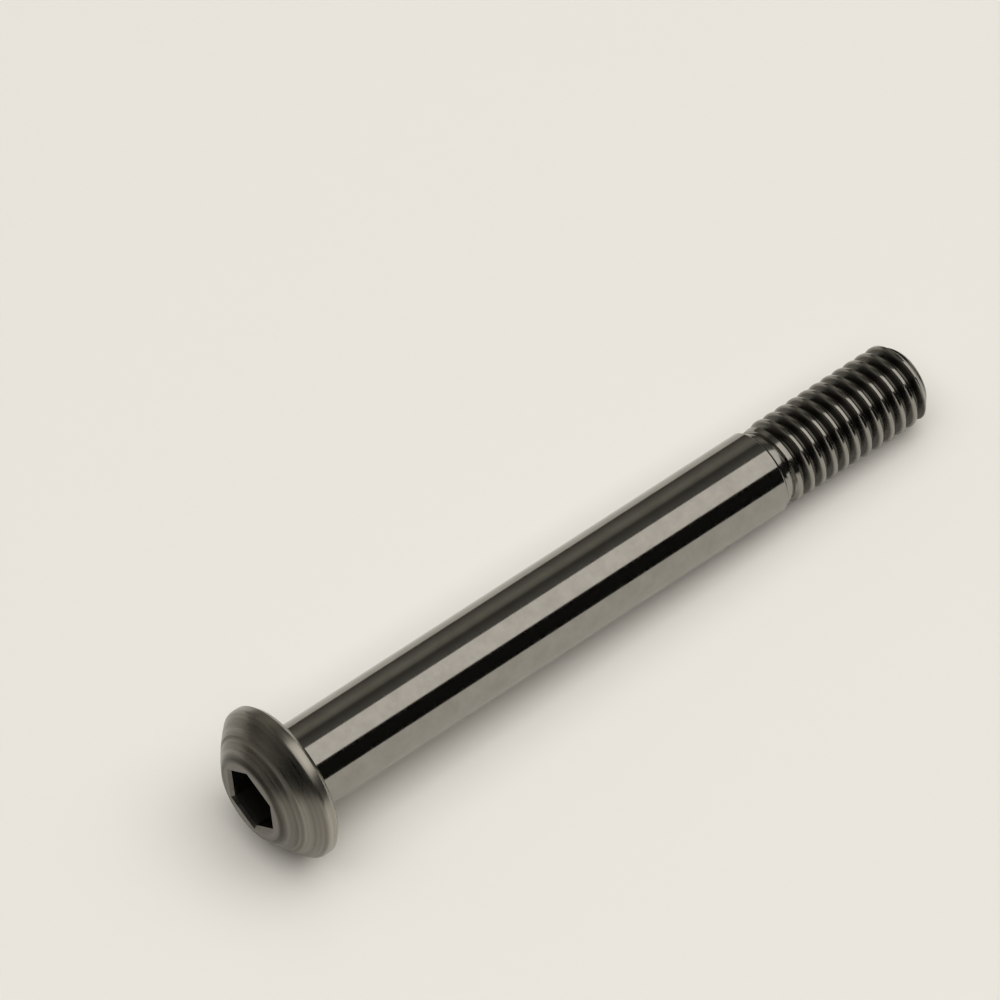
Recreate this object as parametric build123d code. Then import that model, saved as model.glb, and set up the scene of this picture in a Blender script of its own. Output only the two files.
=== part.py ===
from build123d import *
import os
from math import atan2, ceil, degrees, radians, sqrt, tan

# All sizes are in millimetres. The bolt is drawn upright, head down, with its
# axis on Z and the face that clamps the work at Z = 0, then laid on its side.

# Head
head_d = 10.9
head_h = 3.05
rim_h = 0.9
rim_break = 0.32
rim_round = 0.28
dome_rise = 0.11
flat_d = 5.95
flat_round = 0.35

# Hex socket
socket_across = 4.05
socket_depth = 2.1
floor_angle = 118.0
mouth_break = 0.2
socket_turn = 53.0

# Shoulder
shoulder_d = 6.0
shoulder_l = 39.9
head_fillet = 0.5
end_break = 0.2

# Thread
thread_d = 5.85
thread_l = 12.65
pitch = 1.0
thread_angle = 60.0
crest_share = 0.2
depth_share = 0.55
foot_share = 0.48
last_crest = 0.58
neck_d = 5.35
neck_w = 0.25
run_out = 1.2
tip_break = 0.7

# Derived sizes
head_r = head_d / 2
flat_r = flat_d / 2
shoulder_r = shoulder_d / 2
thread_r = thread_d / 2
neck_r = neck_d / 2
crest_w = crest_share * pitch
core_r = thread_r - depth_share * pitch
bolt_l = shoulder_l + thread_l
thread_start = shoulder_l + neck_w
last_crest_z = bolt_l - tip_break - last_crest * pitch
rest_tilt = degrees(atan2(head_r - thread_r, last_crest_z + crest_w / 2 + rim_break))


def at(r, z):
    """A point of a half section, at radius r and height z."""
    return (r, 0, z)


def dome_line():
    """The low dome, a little fuller than a straight cone."""
    run = head_r - flat_r
    rise = head_h - rim_h
    slant = sqrt(run**2 + rise**2)
    out_r = (head_r + flat_r) / 2 + dome_rise * rise / slant
    out_z = (head_h + rim_h) / 2 + dome_rise * run / slant
    return ThreePointArc(at(flat_r, -head_h), at(out_r, -out_z), at(head_r, -rim_h))


def turned_outline():
    """Half section of head, shoulder and neck."""
    lines = Polyline(
        at(head_r, -rim_h),
        at(head_r, -rim_break),
        at(head_r - rim_break, 0),
        at(shoulder_r, 0),
        at(shoulder_r, shoulder_l - end_break),
        at(shoulder_r - end_break, shoulder_l),
        at(neck_r, shoulder_l),
        at(neck_r, thread_start),
        at(0, thread_start),
        at(0, -head_h),
        at(flat_r, -head_h),
    )
    return make_face([dome_line()] + list(lines.edges()))


def turned_blank():
    outline = turned_outline()
    corners = (
        (at(flat_r, -head_h), flat_round),
        (at(head_r, -rim_h), rim_round),
        (at(shoulder_r, 0), head_fillet),
    )
    for corner, radius in corners:
        nearest = outline.vertices().sort_by_distance(corner)[0]
        outline = fillet(nearest, radius)
    return revolve(outline, Axis.Z)


def ridge_section(z):
    """Section of the thread's ridge at height z, sunk into the core."""
    foot_half = foot_share * pitch
    foot_r = thread_r - (foot_half - crest_w / 2) / tan(radians(thread_angle / 2))
    return make_face(
        Polyline(
            at(foot_r, z - foot_half),
            at(thread_r, z - crest_w / 2),
            at(thread_r, z + crest_w / 2),
            at(foot_r, z + foot_half),
            close=True,
        )
    )


def turned(*outline):
    """Solid of revolution, its seam a quarter turn away from where the ridge starts."""
    return Rot(Z=90) * revolve(make_face(Polyline(*outline, close=True)), Axis.Z)


def thread_room():
    """Space the thread may fill: it rises from the neck to full height and ends in the broken tip."""
    over = 0.25 * pitch
    wide_r = thread_r + over
    rise = run_out * (wide_r - neck_r) / (thread_r - neck_r)
    return turned(
        at(0, thread_start),
        at(neck_r, thread_start),
        at(wide_r, thread_start + rise),
        at(wide_r, bolt_l - tip_break - over),
        at(thread_r - tip_break, bolt_l),
        at(0, bolt_l),
    )


def run_out_cone():
    """Fills the groove near the neck, where the thread runs out."""
    return turned(
        at(0, thread_start),
        at(neck_r, thread_start),
        at(core_r, thread_start + run_out),
        at(0, thread_start + run_out),
    )


def thread():
    """Right-hand ridge round its core, with a full crest on the side the bolt lies on."""
    turns = ceil(thread_l / pitch)
    low = last_crest_z - turns * pitch
    high = last_crest_z + 2 * pitch
    path = Helix(pitch, high - low, thread_r, center=(0, 0, low))
    ridge = sweep(ridge_section(low), path=path, is_frenet=True)
    core_low, core_high = low - pitch, high + pitch
    core = turned(at(0, core_low), at(core_r, core_low), at(core_r, core_high), at(0, core_high))
    return ((core + ridge) & thread_room()) + run_out_cone()


def socket():
    """Hex hole from the flat of the head, ending in a shallow cone."""
    across = socket_across / sqrt(3)
    hexagon = RegularPolygon(across, 6, rotation=socket_turn)
    hole = extrude(Pos(0, 0, -head_h) * hexagon, socket_depth)
    cone_h = socket_across / 2 / tan(radians(floor_angle / 2))
    floor = Pos(0, 0, socket_depth - head_h) * Cone(
        socket_across / 2, 0, cone_h, align=(Align.CENTER, Align.CENTER, Align.MIN)
    )
    return hole + floor


def break_mouth(body):
    face = body.faces().filter_by(GeomType.PLANE).sort_by(Axis.Z)[0]
    return chamfer(face.inner_wires()[0].edges(), mouth_break)


def bolt():
    body = turned_blank() - socket()
    body = break_mouth(body)
    return body + thread()


def laid_down(body):
    """Lie the bolt on the rim of its head and the last full crest of its thread."""
    return Rot(Y=90 + rest_tilt) * body


os.makedirs("parts", exist_ok=True)
export_step(laid_down(bolt()), "parts/shoulder_bolt.step")
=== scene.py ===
from math import atan2, ceil, cos, pi, radians, sin, sqrt, tan

import bmesh
import bpy
from mathutils import Matrix, Vector


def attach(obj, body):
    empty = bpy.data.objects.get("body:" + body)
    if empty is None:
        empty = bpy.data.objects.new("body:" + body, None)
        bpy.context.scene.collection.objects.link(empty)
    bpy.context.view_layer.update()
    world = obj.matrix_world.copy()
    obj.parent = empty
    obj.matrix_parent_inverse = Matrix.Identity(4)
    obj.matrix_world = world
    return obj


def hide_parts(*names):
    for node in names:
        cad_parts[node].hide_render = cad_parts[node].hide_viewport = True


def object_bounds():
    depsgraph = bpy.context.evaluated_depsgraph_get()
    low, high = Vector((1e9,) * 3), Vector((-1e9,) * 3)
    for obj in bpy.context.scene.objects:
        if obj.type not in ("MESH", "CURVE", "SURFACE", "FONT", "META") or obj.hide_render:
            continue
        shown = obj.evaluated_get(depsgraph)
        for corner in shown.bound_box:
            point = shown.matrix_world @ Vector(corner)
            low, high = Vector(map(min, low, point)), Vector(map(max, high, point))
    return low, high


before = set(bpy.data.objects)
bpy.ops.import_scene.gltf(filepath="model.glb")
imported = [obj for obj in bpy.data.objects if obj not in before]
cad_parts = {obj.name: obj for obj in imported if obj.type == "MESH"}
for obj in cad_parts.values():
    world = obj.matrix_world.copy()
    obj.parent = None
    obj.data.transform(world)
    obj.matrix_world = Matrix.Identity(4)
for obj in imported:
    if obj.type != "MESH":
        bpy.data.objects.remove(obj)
cad_low, cad_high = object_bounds()

# The bolt is drawn in millimetres, upright and head down, with the face that
# clamps the work at height 0, then laid on its side and brought to metres.
MM = 0.001

# Head
HEAD_D = 10.9
HEAD_H = 3.05
RIM_H = 0.9
RIM_BREAK = 0.32
RIM_ROUND = 0.28
DOME_RISE = 0.11
FLAT_D = 5.95
FLAT_ROUND = 0.35

# Hex socket
SOCKET_ACROSS = 4.05
SOCKET_DEPTH = 2.1
FLOOR_ANGLE = 118.0
MOUTH_BREAK = 0.2
SOCKET_TURN = 53.0

# Shoulder
SHOULDER_D = 6.0
SHOULDER_L = 39.9
HEAD_FILLET = 0.5
END_BREAK = 0.2

# Thread
THREAD_D = 5.85
THREAD_L = 12.65
PITCH = 1.0
THREAD_ANGLE = 60.0
CREST_SHARE = 0.2
DEPTH_SHARE = 0.55
LAST_CREST = 0.58
NECK_D = 5.35
NECK_W = 0.25
RUN_OUT = 1.2
TIP_BREAK = 0.7

# Small roundings that a turning tool, a rolling die and the plating leave
EDGE_SOFT = 0.035
CREST_SOFT = 0.02
ROOT_SOFT = 0.035

# The neck reaches this much further than drawn, so that no two cones meet in one ring
JOINT_STEP = 0.02

# Sizes that follow from those above
HEAD_R = HEAD_D / 2
FLAT_R = FLAT_D / 2
SHOULDER_R = SHOULDER_D / 2
THREAD_R = THREAD_D / 2
NECK_R = NECK_D / 2
SOCKET_CORNER_R = SOCKET_ACROSS / sqrt(3)
CREST_W = CREST_SHARE * PITCH
CORE_R = THREAD_R - DEPTH_SHARE * PITCH
BOLT_L = SHOULDER_L + THREAD_L
THREAD_START = SHOULDER_L + NECK_W
LAST_CREST_Z = BOLT_L - TIP_BREAK - LAST_CREST * PITCH
REST_TILT = atan2(HEAD_R - THREAD_R, LAST_CREST_Z + CREST_W / 2 + RIM_BREAK)
LAID_DOWN = Matrix.Scale(MM, 4) @ Matrix.Rotation(radians(90) + REST_TILT, 4, "Y")

# How finely the round forms are cut
ROUND_STEPS = 240
THREAD_STEPS = 96
POINT_STEPS = 120
ARC_STEPS = 5
EDGE_STEPS = 3
RIDGE_STEPS = 4
DOME_CUTS = 11
SHARP_ANGLE = 32

# How near two points lie before they become one: on a turned form, where forms
# were cut together, and where the turns of the thread meet, which drift apart
# by rounding. PLANE_GAP is how near a point lies to a plane to be on it.
TURN_GAP = 1e-5
CUT_GAP = 2e-4
SEAM_GAP = 1e-3
PLANE_GAP = 1e-6


# Small helpers for shapes

def at(r, z):
    """A point of a half section, at radius r and height z."""
    return (r, 0, z)


def wire(bm, points):
    """Joins the points by straight edges."""
    verts = [bm.verts.new(p) for p in points]
    for pair in zip(verts, verts[1:]):
        bm.edges.new(pair)


def nearest(bm, point):
    return min(bm.verts, key=lambda v: (v.co - Vector(point)).length)


def round_corner(bm, point, reach, steps):
    """Rounds the wire's corner at a point; reach is how far along each edge the curve starts."""
    bmesh.ops.bevel(
        bm, geom=[nearest(bm, point)], offset=reach, offset_type="OFFSET", segments=steps,
        profile=0.5, affect="VERTICES", material=-1,
    )


def turn(bm):
    """Turns the wire once round the bolt's axis."""
    bmesh.ops.spin(
        bm, geom=bm.verts[:] + bm.edges[:], cent=(0, 0, 0), axis=(0, 0, 1),
        angle=2 * pi, steps=ROUND_STEPS, use_merge=True,
    )
    bmesh.ops.remove_doubles(bm, verts=bm.verts, dist=TURN_GAP)


def as_object(bm, name):
    """Points the faces outward and makes the mesh an object."""
    bmesh.ops.recalc_face_normals(bm, faces=bm.faces)
    mesh = bpy.data.meshes.new(name)
    bm.to_mesh(mesh)
    bm.free()
    made = bpy.data.objects.new(name, mesh)
    bpy.context.scene.collection.objects.link(made)
    return made


def carve(body, tool, operation):
    """Cuts, joins or keeps what two shapes share, then drops the tool."""
    step = body.modifiers.new(tool.name, "BOOLEAN")
    step.operation = operation
    step.solver = "EXACT"
    step.object = tool
    bpy.context.view_layer.update()
    shaped = body.evaluated_get(bpy.context.evaluated_depsgraph_get())
    mesh = bpy.data.meshes.new_from_object(shaped)
    body.modifiers.clear()
    body.data = mesh
    bpy.data.objects.remove(tool)


def weld(body):
    """Merges the stray points that cutting leaves along the joins."""
    bm = bmesh.new()
    bm.from_mesh(body.data)
    bmesh.ops.remove_doubles(bm, verts=bm.verts, dist=CUT_GAP)
    bmesh.ops.dissolve_degenerate(bm, edges=bm.edges, dist=CUT_GAP)
    bmesh.ops.recalc_face_normals(bm, faces=bm.faces)
    bm.to_mesh(body.data)
    bm.free()


# The bolt's shapes

def turned_blank():
    """Head and shoulder, as they come off the lathe."""
    bm = bmesh.new()
    corners = [
        at(0, -HEAD_H),
        at(FLAT_R, -HEAD_H),
        at(HEAD_R, -RIM_H),
        at(HEAD_R, -RIM_BREAK),
        at(HEAD_R - RIM_BREAK, 0),
        at(SHOULDER_R, 0),
        at(SHOULDER_R, SHOULDER_L - END_BREAK),
        at(SHOULDER_R - END_BREAK, SHOULDER_L),
        at(0, SHOULDER_L),
    ]
    wire(bm, corners)
    flat_edge, rim_top, rim_foot, face_edge, inner, end_edge, end_face = corners[1:8]
    slope = atan2(HEAD_H - RIM_H, HEAD_R - FLAT_R)
    bow_dome(bm, bm.edges.get((nearest(bm, flat_edge), nearest(bm, rim_top))), slope)
    round_corner(bm, flat_edge, FLAT_ROUND * tan(slope / 2), ARC_STEPS)
    round_corner(bm, rim_top, RIM_ROUND * tan((pi / 2 - slope) / 2), ARC_STEPS)
    round_corner(bm, inner, HEAD_FILLET, 2 * ARC_STEPS)
    for corner in (rim_foot, face_edge, end_edge, end_face):
        round_corner(bm, corner, EDGE_SOFT, EDGE_STEPS)
    turn(bm)
    return as_object(bm, "blank")


def bow_dome(bm, edge, slope):
    """Bows the dome's line out from a straight cone, most at its middle."""
    ends = [v.co.copy() for v in edge.verts]
    out = Vector((sin(slope), 0, -cos(slope)))
    made = bmesh.ops.subdivide_edges(bm, edges=[edge], cuts=DOME_CUTS)
    for vert in (v for v in made["geom_inner"] if isinstance(v, bmesh.types.BMVert)):
        share = (vert.co - ends[0]).length / (ends[1] - ends[0]).length
        vert.co += out * DOME_RISE * 4 * share * (1 - share)


def hexagon(bm, across, z):
    """A hexagonal face across the axis at height z."""
    made = bmesh.ops.create_circle(bm, cap_ends=True, radius=across / sqrt(3), segments=6)
    turned = Matrix.Rotation(radians(SOCKET_TURN - 90), 3, "Z")
    bmesh.ops.rotate(bm, cent=(0, 0, 0), matrix=turned, verts=made["verts"])
    bmesh.ops.translate(bm, vec=(0, 0, z), verts=made["verts"])
    return made["verts"][0].link_faces[0]


def raise_face(bm, face, rise, grow):
    """Extrudes a face along the axis by rise and widens its across-flats size to grow times."""
    made = bmesh.ops.extrude_face_region(bm, geom=[face])
    verts = [g for g in made["geom"] if isinstance(g, bmesh.types.BMVert)]
    bmesh.ops.translate(bm, vec=(0, 0, rise), verts=verts)
    bmesh.ops.scale(bm, vec=(grow, grow, 1), verts=verts)
    bmesh.ops.delete(bm, geom=[face], context="FACES_ONLY")
    return next(g for g in made["geom"] if isinstance(g, bmesh.types.BMFace))


def hex_punch():
    """The hex hole with its broken mouth, as a solid to cut with."""
    bm = bmesh.new()
    over = 0.3
    mouth = SOCKET_ACROSS + 2 * MOUTH_BREAK
    first = hexagon(bm, mouth + 2 * over, -HEAD_H - over)
    second = raise_face(bm, first, over + MOUTH_BREAK, SOCKET_ACROSS / (mouth + 2 * over))
    raise_face(bm, second, SOCKET_DEPTH - MOUTH_BREAK, 1)
    bmesh.ops.holes_fill(bm, edges=bm.edges)
    return as_object(bm, "hex_punch")


def drill_point():
    """The shallow cone that the drill leaves below the hex."""
    bm = bmesh.new()
    rise = SOCKET_ACROSS / 2 / tan(radians(FLOOR_ANGLE / 2))
    made = bmesh.ops.create_cone(
        bm, cap_ends=True, segments=POINT_STEPS, radius1=SOCKET_ACROSS / 2, radius2=0, depth=rise,
    )
    bmesh.ops.translate(bm, vec=(0, 0, SOCKET_DEPTH - HEAD_H + rise / 2), verts=made["verts"])
    return as_object(bm, "drill_point")


def thread_line(bm, z):
    """One pitch of the thread's section, root to root, with its crest at height z."""
    foot_half = CREST_W / 2 + (THREAD_R - CORE_R) * tan(radians(THREAD_ANGLE / 2))
    corners = [
        at(CORE_R, z - PITCH / 2),
        at(CORE_R, z - foot_half),
        at(THREAD_R, z - CREST_W / 2),
        at(THREAD_R, z + CREST_W / 2),
        at(CORE_R, z + foot_half),
        at(CORE_R, z + PITCH / 2),
    ]
    wire(bm, corners)
    for corner, soft in zip(corners[1:5], (ROOT_SOFT, CREST_SOFT, CREST_SOFT, ROOT_SOFT)):
        round_corner(bm, corner, soft, RIDGE_STEPS)


def rolled_thread():
    """Right-hand thread, one pitch of its line swept round and along the axis."""
    bm = bmesh.new()
    spare_above, spare_below = 3, 1
    turns = ceil(THREAD_L / PITCH) + spare_above + spare_below
    low = LAST_CREST_Z - (turns - spare_above) * PITCH
    thread_line(bm, low)
    bmesh.ops.spin(
        bm, geom=bm.verts[:] + bm.edges[:], cent=(0, 0, 0), axis=(0, 0, 1),
        dvec=(0, 0, PITCH / THREAD_STEPS), angle=2 * pi * turns,
        steps=THREAD_STEPS * turns,
    )
    bmesh.ops.remove_doubles(bm, verts=bm.verts, dist=SEAM_GAP)
    for height, side in ((THREAD_START - NECK_W, -1), (BOLT_L + NECK_W, 1)):
        everything = bm.verts[:] + bm.edges[:] + bm.faces[:]
        cut = bmesh.ops.bisect_plane(
            bm, geom=everything, dist=PLANE_GAP, plane_co=(0, 0, height),
            plane_no=(0, 0, side), clear_outer=True,
        )
        rim = [g for g in cut["geom_cut"] if isinstance(g, bmesh.types.BMEdge)]
        bmesh.ops.holes_fill(bm, edges=rim)
    bmesh.ops.triangulate(bm, faces=[f for f in bm.faces if len(f.verts) > 4])
    return as_object(bm, "rolled_thread")


def thread_room():
    """The space left to the thread: it rises from the neck, and its end is turned to a cone."""
    bm = bmesh.new()
    over = 0.25 * PITCH
    slope = (THREAD_R - NECK_R) / RUN_OUT
    below = NECK_W / 2
    wire(bm, [
        at(0, THREAD_START - below),
        at(NECK_R - below * slope, THREAD_START - below),
        at(THREAD_R + over, THREAD_START + (THREAD_R + over - NECK_R) / slope),
        at(THREAD_R + over, BOLT_L - TIP_BREAK - over),
        at(THREAD_R - TIP_BREAK, BOLT_L),
        at(0, BOLT_L),
    ])
    turn(bm)
    return as_object(bm, "thread_room")


def neck():
    """The neck, and the cone that fills the groove where the thread runs out."""
    bm = bmesh.new()
    inside = 0.05
    slope = (NECK_R - CORE_R) / RUN_OUT
    top = THREAD_START + RUN_OUT + inside / slope
    wire(bm, [
        at(0, SHOULDER_L - NECK_W),
        at(NECK_R, SHOULDER_L - NECK_W),
        at(NECK_R, THREAD_START + JOINT_STEP),
        at(CORE_R - inside, top),
        at(0, top),
    ])
    turn(bm)
    return as_object(bm, "neck")


def bolt():
    """The whole bolt in one mesh, laid on its side where it rests."""
    body = turned_blank()
    carve(body, hex_punch(), "DIFFERENCE")
    carve(body, drill_point(), "DIFFERENCE")
    thread = rolled_thread()
    carve(thread, thread_room(), "INTERSECT")
    carve(thread, neck(), "UNION")
    carve(body, thread, "UNION")
    weld(body)
    body.name = "bolt"
    body.data.transform(LAID_DOWN)
    body.data.shade_smooth()
    body.data.set_sharp_from_angle(angle=radians(SHARP_ANGLE))
    even = body.modifiers.new("even_normals", "WEIGHTED_NORMAL")
    even.keep_sharp = True
    body.data.materials.clear()
    body.data.materials.append(dark_nickel())
    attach(body, "root")
    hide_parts("shoulder_bolt")


# Materials

def linear(hex_colour):
    """An sRGB hex colour as linear RGBA."""
    parts = [int(hex_colour[i:i + 2], 16) / 255 for i in (1, 3, 5)]
    return [c / 12.92 if c <= 0.04045 else ((c + 0.055) / 1.055) ** 2.4 for c in parts] + [1]


def add(tree, kind, *inputs, stops=(), **settings):
    """Adds a node with its settings and colour stops, and gives its outputs by name.

    The inputs, values or other nodes' outputs, are in the order that the node shows them.
    """
    node = tree.nodes.new("ShaderNode" + kind)
    for name, value in settings.items():
        setattr(node, name, value)
    for index, (place, colour) in enumerate(stops):
        have = node.color_ramp.elements
        stop = have[index] if index < 2 else have.new(place)
        stop.position = place
        stop.color = linear(colour)
    for socket, value in zip([s for s in node.inputs if s.enabled], inputs):
        if isinstance(value, bpy.types.NodeSocket):
            tree.links.new(value, socket)
        else:
            socket.default_value = value
    return {socket.name: socket for socket in node.outputs if socket.enabled}


# Where one finish or painted shade gives way to the next, from and to, in millimetres of
# height, of radius, or of distance from the middle of a flank
HEAD_ENDS = (0.02, 0.3)
THREAD_BEGINS = (SHOULDER_L, SHOULDER_L + 0.05)
# Painted shade on the thread's flanks starts here, once the thread has its full height
FLANK_SHADE_BEGINS = (THREAD_START + 0.6, THREAD_START + 1.4)
FLANK_R = (CORE_R + THREAD_R) / 2
FLANK_EDGE = (0.1, 0.24)
SOCKET_WALL = (SOCKET_CORNER_R + MOUTH_BREAK, SOCKET_CORNER_R + MOUTH_BREAK + 0.05)
SOCKET_MOUTH = (0.25 - HEAD_H, 0.6 - HEAD_H)

# Patterns: how many marks to the millimetre, the levels of finer detail in
# them, and how strong that detail is. Tool marks are about 0.1 mm apart, with
# waves of about 0.5 mm. Grinding lines and the grain of the plate are finer
# than that in life, and are drawn as coarse as they need to be to show.
COARSE_RINGS = (2.1, 1.0, 0.5)
FINE_RINGS = (9.0, 3.0, 0.6)
CLOUDS = (0.9, 4.0, 0.6)
GRAINS = (14.0, 2.0, 0.5)

# The rings change this much less round the axis than along the bolt
ROUND_THE_AXIS = 0.04

# What a fine ring counts for beside a coarse one
FINE_SHARE = 0.4

# How deep the marks are in millimetres, and how many pixels wide their slope is read
RING_DEPTH = 0.012
LINE_DEPTH = 0.0006
GRAIN_DEPTH = 0.0004
BUMP_WIDTH = 0.1

# Most noise lies between these two values
NOISE = (0.3, 0.7)

# Roughness, from the smoothest spot to the dullest
SHOULDER_ROUGH = (0.07, 0.13)
HEAD_ROUGH = (0.24, 0.36)
THREAD_ROUGH = (0.12, 0.2)

# The tool dwelt on the dome and left one duller ring, so much rougher
DULL_RING_R = 4.2
DULL_RING_HALF = (0.06, 0.16)
DULL_RING_ROUGH = 0.3

# Painted shade in the thread's grooves and the socket: its colour, how much of it shows, and how
# much rougher those places are
RECESS_SHADE_COLOUR = "#3C3A36"
RECESS_SHADE_SHARE = 0.85
RECESS_ROUGH = 0.12

# The ground shoulder, from its darker clouds to its lighter ones
GROUND_COLOURS = ("#8E8C86", "#999791")

# Head tone by share of its radius: turning rings that differ in reflectance, with painted
# shade round the socket and painted highlights as a bright line on the dome and a bright rim
HEAD_RINGS_AND_PAINTED_LIGHT = (
    (0.43, "#787570"), (0.50, "#7A776F"), (0.545, "#55534E"), (0.565, "#4A4843"),
    (0.60, "#63605A"), (0.644, "#84817A"), (0.69, "#7A776F"), (0.726, "#6A6760"),
    (0.755, "#8F8C84"), (0.79, "#8F8C84"), (0.82, "#827F77"), (0.84, "#8A877F"),
    (0.885, "#7C7971"), (0.93, "#84817A"), (0.97, "#827F77"), (0.99, "#A5A299"),
)
RING_SHADES = ((NOISE[0], "#D8D8D8"), (NOISE[1], "#FFFFFF"))


def place_on_bolt(tree):
    """The place on the upright bolt in millimetres, as a vector, with its radius and height."""
    place = add(tree, "TexCoord")["Object"]
    stand_up = (0, -(radians(90) + REST_TILT), 0)
    upright = add(tree, "Mapping", place, (0, 0, 0), stand_up, (1 / MM, 1 / MM, 1 / MM))["Vector"]
    across = add(tree, "VectorMath", upright, (1, 1, 0), operation="MULTIPLY")["Vector"]
    radius = add(tree, "VectorMath", across, operation="LENGTH")["Value"]
    height = add(tree, "SeparateXYZ", upright)["Z"]
    return upright, radius, height


def zones(tree, radius, height):
    """1 on the head, 1 on the thread and 1 on the painted shade of the flanks and socket, each
    fading to 0.
    """
    on_head = add(tree, "MapRange", height, *HEAD_ENDS, 1, 0)["Result"]
    on_thread = add(tree, "MapRange", height, *THREAD_BEGINS, 0, 1)["Result"]

    # Half way up the flanks, once the thread has its full height
    from_flank = add(tree, "Math", radius, FLANK_R, operation="SUBTRACT")["Value"]
    off_flank = add(tree, "Math", from_flank, operation="ABSOLUTE")["Value"]
    on_flank = add(tree, "MapRange", off_flank, *FLANK_EDGE, 1, 0)["Result"]
    shaded_flank = add(tree, "MapRange", height, *FLANK_SHADE_BEGINS, 0, on_flank)["Result"]

    # Inside the socket, below its mouth
    near_axis = add(tree, "MapRange", radius, *SOCKET_WALL, 1, 0)["Result"]
    in_socket = add(tree, "MapRange", height, *SOCKET_MOUTH, 0, near_axis)["Result"]

    # Painted shade: the thread's flanks and the inside of the socket, recesses where shade falls,
    # are marked to be darkened
    shaded_recess = add(tree, "Math", shaded_flank, in_socket, operation="MAXIMUM")["Value"]
    return on_head, on_thread, shaded_recess


def ring_noise(tree, upright, radius, height):
    """Coarse and fine turning rings, much stretched round the axis."""
    along = add(tree, "Math", radius, height, operation="ADD")["Value"]
    axes = add(tree, "SeparateXYZ", upright)
    slow_x = add(tree, "Math", axes["X"], ROUND_THE_AXIS, operation="MULTIPLY")["Value"]
    slow_y = add(tree, "Math", axes["Y"], ROUND_THE_AXIS, operation="MULTIPLY")["Value"]
    rings = add(tree, "CombineXYZ", along, slow_x, slow_y)["Vector"]
    coarse = add(tree, "TexNoise", rings, *COARSE_RINGS)["Fac"]
    fine = add(tree, "TexNoise", rings, *FINE_RINGS)["Fac"]
    return coarse, fine


def dark_nickel():
    """Dark nickel plate on turned and ground steel.

    The shoulder is ground, so it mirrors the room with only faint lines round
    it. The head is left as turned, with rings round the axis that blur the
    mirror, and its colour holds painted shade round the socket and painted
    highlights on the dome and rim. The thread is rolled, and mirrors more
    sharply. Painted shade darkens the thread's flanks and the socket.
    """
    made = bpy.data.materials.new("dark_nickel_plate")
    made.use_nodes = True
    tree = made.node_tree
    shader = tree.nodes["Principled BSDF"]
    shader.inputs["Metallic"].default_value = 1

    upright, radius, height = place_on_bolt(tree)
    on_head, on_thread, shaded_recess = zones(tree, radius, height)
    coarse, fine = ring_noise(tree, upright, radius, height)
    cloud = add(tree, "TexNoise", upright, *CLOUDS)["Fac"]
    grain = add(tree, "TexNoise", upright, *GRAINS)["Fac"]

    # Colour
    head_share = add(tree, "Math", radius, HEAD_R, operation="DIVIDE")["Value"]
    # The head's tone holds painted shade round the socket and painted highlights on the dome and
    # rim, beside the turning rings
    rings_and_painted_light = add(tree, "ValToRGB", head_share, stops=HEAD_RINGS_AND_PAINTED_LIGHT)["Color"]
    ring_shade = add(tree, "ValToRGB", coarse, stops=RING_SHADES)["Color"]
    turned = add(
        tree, "Mix", 1.0, rings_and_painted_light, ring_shade, data_type="RGBA", blend_type="MULTIPLY",
    )["Result"]
    cloudy = add(tree, "MapRange", cloud, *NOISE, 0, 1)["Result"]
    ground = add(
        tree, "Mix", cloudy, *(linear(colour) for colour in GROUND_COLOURS), data_type="RGBA",
    )["Result"]
    bare = add(tree, "Mix", on_head, ground, turned, data_type="RGBA")["Result"]
    # Painted shade: the thread's flanks and the socket are mixed toward a dark grey where shade
    # falls in them
    recess_shade_shown = add(tree, "Math", shaded_recess, RECESS_SHADE_SHARE, operation="MULTIPLY")["Value"]
    colour = add(tree, "Mix", recess_shade_shown, bare, linear(RECESS_SHADE_COLOUR), data_type="RGBA")["Result"]
    tree.links.new(colour, shader.inputs["Base Color"])

    # Roughness
    from_ring = add(tree, "Math", radius, DULL_RING_R, operation="SUBTRACT")["Value"]
    off_ring = add(tree, "Math", from_ring, operation="ABSOLUTE")["Value"]
    dull_ring = add(tree, "MapRange", off_ring, *DULL_RING_HALF, DULL_RING_ROUGH, 0)["Result"]
    ringed = add(tree, "MapRange", fine, *NOISE, *HEAD_ROUGH)["Result"]
    head_rough = add(tree, "Math", ringed, dull_ring, operation="ADD")["Value"]
    shoulder_rough = add(tree, "MapRange", fine, *NOISE, *SHOULDER_ROUGH)["Result"]
    thread_rough = add(tree, "MapRange", grain, *NOISE, *THREAD_ROUGH)["Result"]
    rough = add(tree, "Mix", on_head, shoulder_rough, head_rough)["Result"]
    rough = add(tree, "Mix", on_thread, rough, thread_rough)["Result"]
    rough = add(tree, "Math", shaded_recess, RECESS_ROUGH, rough, operation="MULTIPLY_ADD")["Value"]
    tree.links.new(rough, shader.inputs["Roughness"])

    # Heights of the marks in millimetres: rings on the head, faint lines on the shoulder
    ring_depth = add(tree, "MapRange", on_head, 0, 1, LINE_DEPTH, RING_DEPTH)["Result"]
    rings = add(tree, "Math", fine, FINE_SHARE, coarse, operation="MULTIPLY_ADD")["Value"]
    grooves = add(tree, "Math", rings, ring_depth, operation="MULTIPLY")["Value"]
    marks = add(tree, "Math", grain, GRAIN_DEPTH, grooves, operation="MULTIPLY_ADD")["Value"]
    bump = add(tree, "Bump", 1.0, MM, BUMP_WIDTH, marks)["Normal"]
    tree.links.new(bump, shader.inputs["Normal"])
    return made


# Studio

def paper():
    """Pale warm paper under the bolt."""
    made = bpy.data.materials.new("pale_paper")
    made.use_nodes = True
    shader = made.node_tree.nodes["Principled BSDF"]
    shader.inputs["Base Color"].default_value = linear("#E7E3DA")
    shader.inputs["Roughness"].default_value = 1
    shader.inputs["Specular IOR Level"].default_value = 0
    return made


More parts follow.
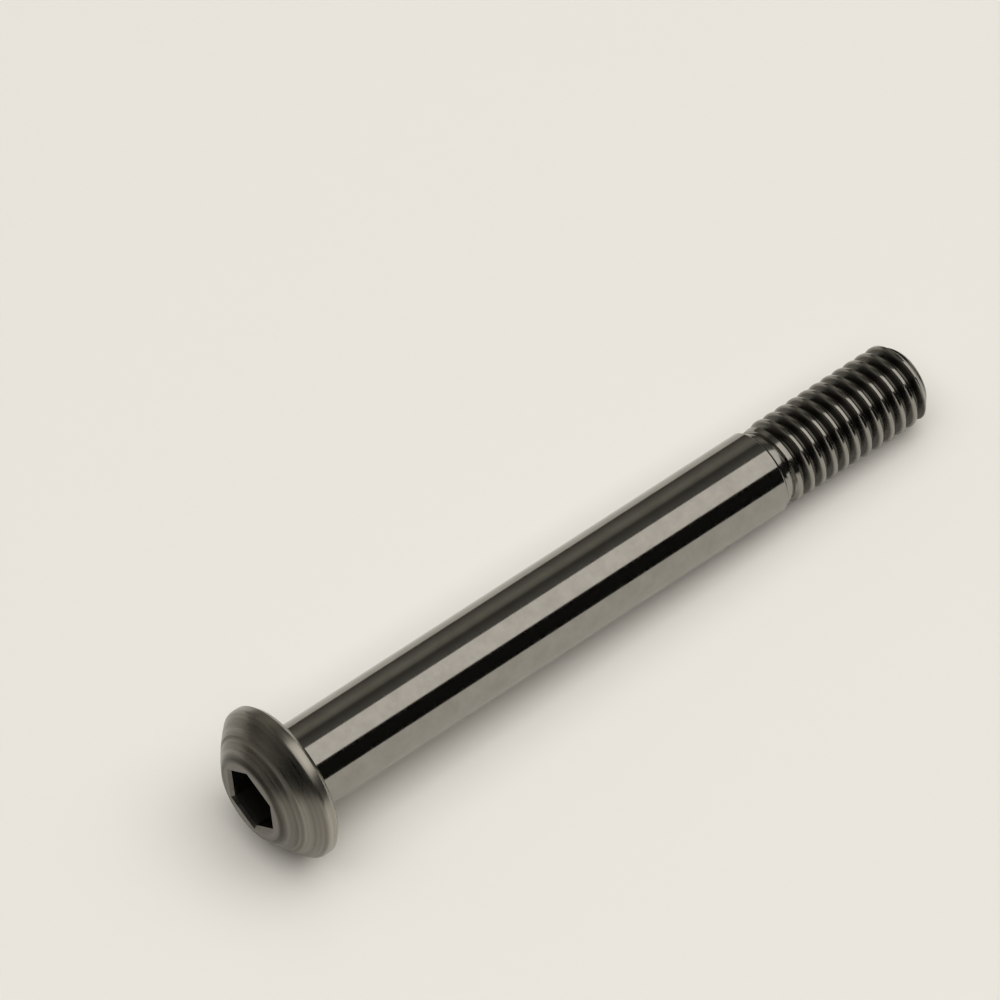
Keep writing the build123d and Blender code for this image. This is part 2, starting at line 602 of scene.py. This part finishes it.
def floor():
    """Paper that reaches so many metres each way, to keep its edge far off in a low view."""
    reach = 6
    bm = bmesh.new()
    bmesh.ops.create_grid(bm, x_segments=4, y_segments=4, size=reach)
    bmesh.ops.translate(bm, vec=(0, 0, cad_low.z), verts=bm.verts)
    made = as_object(bm, "floor")
    made.data.materials.append(paper())


def lamp(name, wide, deep, place, level, tint, mirrored):
    """A flat soft lamp that faces down; level is its brightness, where 1 is white."""
    data = bpy.data.lights.new(name, "AREA")
    data.color = tint
    data.shape = "RECTANGLE"
    data.size, data.size_y = wide, deep
    data.energy = level * pi * wide * deep
    made = bpy.data.objects.new(name, data)
    made.location = place
    made.visible_camera = False
    made.visible_glossy = mirrored
    bpy.context.scene.collection.objects.link(made)


def lamps():
    """A warm softbox that the metal mirrors, and cool light on the paper that it doesn't."""
    lamp(
        "softbox", wide=3.3, deep=1.68, place=(0.45, -0.70, 1.5),
        level=1.27, tint=(1, 0.955, 0.90), mirrored=True,
    )
    lamp(
        "fill", wide=6.5, deep=6.75, place=(0.1, -0.6, 4),
        level=1.29, tint=(0.918, 0.948, 1), mirrored=False,
    )


# Brightness of the room by angle round the bolt's length, in degrees: from
# below the near horizon, over the top, to the far horizon
ROOM = (
    (-60, "#0A0A09"), (0, "#0A0A09"), (14, "#1C1C1A"), (30, "#1E1E1C"),
    (40, "#0A0A09"), (92, "#0C0C0B"), (96, "#6A6863"), (104, "#696762"),
    (113, "#5C5A55"), (121, "#4F4D48"), (126, "#5A5852"), (132, "#848179"),
    (143, "#949188"), (156, "#807D75"), (170, "#65625B"), (180, "#5A5751"),
)


def room():
    """The room that the metal mirrors: dark in front and overhead, grey beyond the bolt."""
    world = bpy.data.worlds.new("room")
    world.use_nodes = True
    bpy.context.scene.world = world
    tree = world.node_tree
    axes = add(tree, "SeparateXYZ", add(tree, "TexCoord")["Generated"])
    near = add(tree, "Math", axes["Y"], -1.0, operation="MULTIPLY")["Value"]
    angle = add(tree, "Math", axes["Z"], near, operation="ARCTAN2")["Value"]
    first, last = ROOM[0][0], ROOM[-1][0]
    share = add(tree, "MapRange", angle, radians(first), radians(last), 0, 1)["Result"]
    stops = [((degrees - first) / (last - first), colour) for degrees, colour in ROOM]
    light = add(tree, "ValToRGB", share, stops=stops)["Color"]
    tree.links.new(light, tree.nodes["Background"].inputs["Color"])


# The photograph's view: camera place, point looked at, roll, lens and film width
CAMERA_AT = Vector((-171.212, -249.535, 412.124)) * MM
LOOKS_AT = Vector((27.118, 11.691, -5.433)) * MM
CAMERA_ROLL = Matrix.Rotation(radians(-3.311), 4, "Z")
LENS = 288.486
FILM_W = 36


def camera():
    data = bpy.data.cameras.new("camera")
    data.lens = LENS
    data.sensor_width = FILM_W
    data.clip_start = 0.01
    made = bpy.data.objects.new("camera", data)
    aim = (LOOKS_AT - CAMERA_AT).to_track_quat("-Z", "Y").to_matrix().to_4x4()
    made.matrix_world = Matrix.Translation(CAMERA_AT) @ aim @ CAMERA_ROLL
    bpy.context.scene.collection.objects.link(made)
    bpy.context.scene.camera = made


bolt()
floor()
lamps()
room()
camera()
bpy.context.scene.view_settings.view_transform = "Standard"
